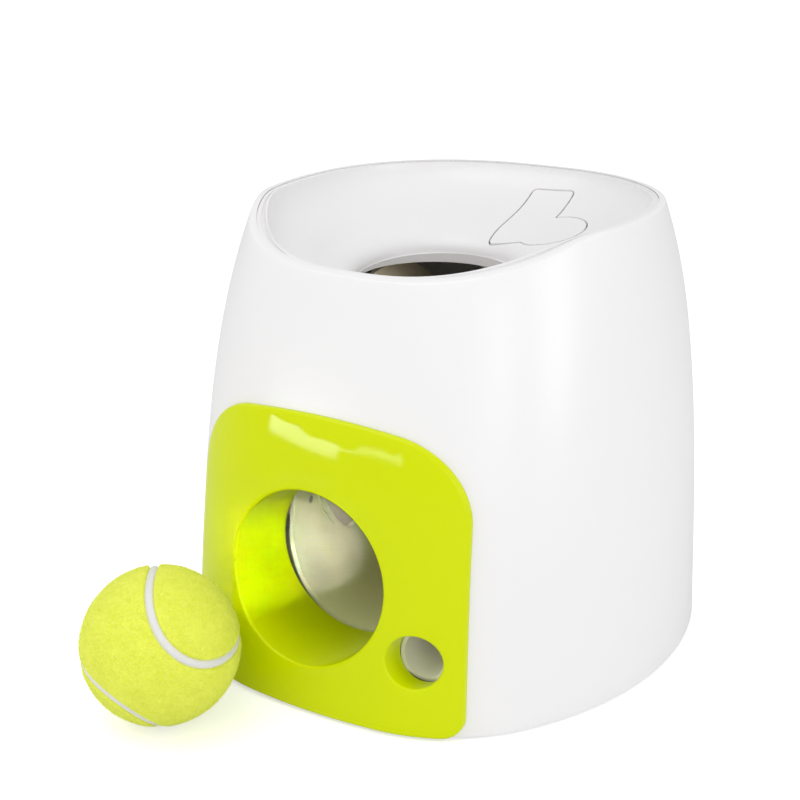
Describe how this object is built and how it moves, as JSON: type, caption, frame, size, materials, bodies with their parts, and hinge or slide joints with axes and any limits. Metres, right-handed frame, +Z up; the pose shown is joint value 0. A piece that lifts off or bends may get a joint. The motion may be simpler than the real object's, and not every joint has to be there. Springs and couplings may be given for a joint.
{
  "type": "dog ball launcher",
  "caption": "Gravity-fed dog ball machine: a bowl takes a ball, a vaned wheel hands it to the round front exit and turns a drum that drops treats from a small exit.",
  "frame": {"origin": "on the floor under the middle of the housing", "axes": "+Z up, the front with both exits faces -Y, +X is on the right seen from the front"},
  "size_m": [0.2278, 0.3124, 0.1984],
  "materials": {
    "shell_white": "satin gloss moulded ABS",
    "panel_lime": "high gloss lime ABS",
    "inner_white": "fine satin moulded ABS",
    "wheel_cream": "satin cream ABS",
    "foot_rubber": "matte rubber",
    "wiper_rubber": "matte soft rubber",
    "screw_steel": "zinc plated",
    "axle_steel": "ground steel",
    "bush_acetal": "natural acetal",
    "ball_felt": "fuzzy yellow felt",
    "ball_rubber": "bare rubber"
  },
  "bodies": {
    "housing": {"outer_shell": "shell_white", "base_plate": "inner_white", "rubber_feet": "foot_rubber", "base_screws": "screw_steel", "front_panel": "panel_lime", "panel_screws": "screw_steel", "top_bowl": "shell_white", "treat_hopper": "inner_white", "hopper_screws": "screw_steel", "drum_housing": "inner_white", "housing_screws": "screw_steel", "drum_wiper": "wiper_rubber", "treat_chute": "inner_white", "ball_chute": "inner_white", "chute_screws": "screw_steel", "axle_bushes": "bush_acetal", "bearing_bracket": "inner_white", "bracket_screws": "screw_steel"},
    "wheel": {"ball_wheel": "wheel_cream", "wheel_axle": "axle_steel", "axle_clips": "axle_steel", "treat_drum": "wheel_cream"},
    "lid": {"hopper_lid": "shell_white"},
    "ball": {"tennis_ball_felt": "ball_felt", "ball_core": "ball_rubber"}
  },
  "joints": [
    {"name": "wheel_turn", "type": "hinge", "parent": "housing", "child": "wheel", "pos_m": [0, 0.012, 0.092], "axis": [1, 0, 0], "continuous": true},
    {"name": "lid_lift", "type": "slide", "parent": "housing", "child": "lid", "axis": [0, 0, 1], "range_m": [0, 0.06]},
    {"name": "ball_roll", "type": "slide", "parent": "housing", "child": "ball", "axis": [0, -1, 0], "range_m": [0, 0.25]}
  ]
}
